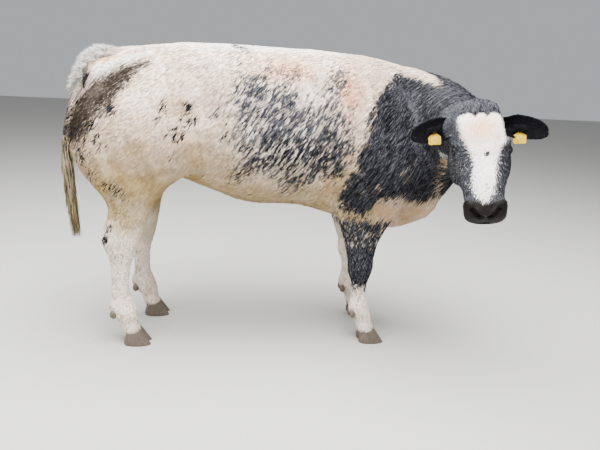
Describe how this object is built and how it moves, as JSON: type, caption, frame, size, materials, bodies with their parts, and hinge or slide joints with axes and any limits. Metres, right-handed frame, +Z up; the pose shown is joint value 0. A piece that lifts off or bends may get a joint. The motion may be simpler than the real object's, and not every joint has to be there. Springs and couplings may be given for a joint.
{
  "type": "belgian blue cattle",
  "caption": "Still life-size model of a double-muscled roan beef heifer standing with her head turned to her right.",
  "frame": {"origin": "middle of the model's box on the floor it stands on", "axes": "+X towards the chest along the body, +Y to the animal's left, +Z up; the head is turned towards -Y"},
  "size_m": [1.9695, 1.1838, 1.3629],
  "materials": {
    "pale_coat": "short flat cream-white hair over pink skin",
    "black_coat": "short blue-black hair with grey strands",
    "muzzle_skin": "moist bare black skin",
    "bare_skin": "bare pink skin with thin hair",
    "tail_hair": "long soiled brown and grey hair",
    "hoof_horn": "dark worn horn",
    "eye_gloss": "wet dark eye",
    "tag_plastic": "moulded yellow plastic"
  },
  "bodies": {
    "root": {"barrel": "pale_coat", "ear_left": "black_coat", "ear_right": "black_coat", "ear_tag_left": "tag_plastic", "ear_tag_right": "tag_plastic", "eye_left": "eye_gloss", "eye_right": "eye_gloss", "foreleg_left_cannon": "pale_coat", "foreleg_left_forearm": "pale_coat", "foreleg_left_inner_claw": "hoof_horn", "foreleg_left_inner_dewclaw": "hoof_horn", "foreleg_left_outer_claw": "hoof_horn", "foreleg_left_outer_dewclaw": "hoof_horn", "foreleg_left_pastern": "pale_coat", "foreleg_right_cannon": "black_coat", "foreleg_right_forearm": "black_coat", "foreleg_right_inner_claw": "hoof_horn", "foreleg_right_inner_dewclaw": "hoof_horn", "foreleg_right_outer_claw": "hoof_horn", "foreleg_right_outer_dewclaw": "hoof_horn", "foreleg_right_pastern": "black_coat", "forequarters": "pale_coat", "head": "pale_coat", "hindleg_left_cannon": "pale_coat", "hindleg_left_gaskin": "pale_coat", "hindleg_left_inner_claw": "hoof_horn", "hindleg_left_inner_dewclaw": "hoof_horn", "hindleg_left_outer_claw": "hoof_horn", "hindleg_left_outer_dewclaw": "hoof_horn", "hindleg_left_pastern": "pale_coat", "hindleg_right_cannon": "pale_coat", "hindleg_right_gaskin": "pale_coat", "hindleg_right_inner_claw": "hoof_horn", "hindleg_right_inner_dewclaw": "hoof_horn", "hindleg_right_outer_claw": "hoof_horn", "hindleg_right_outer_dewclaw": "hoof_horn", "hindleg_right_pastern": "pale_coat", "hindquarters": "pale_coat", "muzzle": "muzzle_skin", "neck": "black_coat", "tail_dock": "pale_coat", "tail_middle": "pale_coat", "tail_switch": "tail_hair", "udder": "bare_skin"}
  },
  "joints": []
}
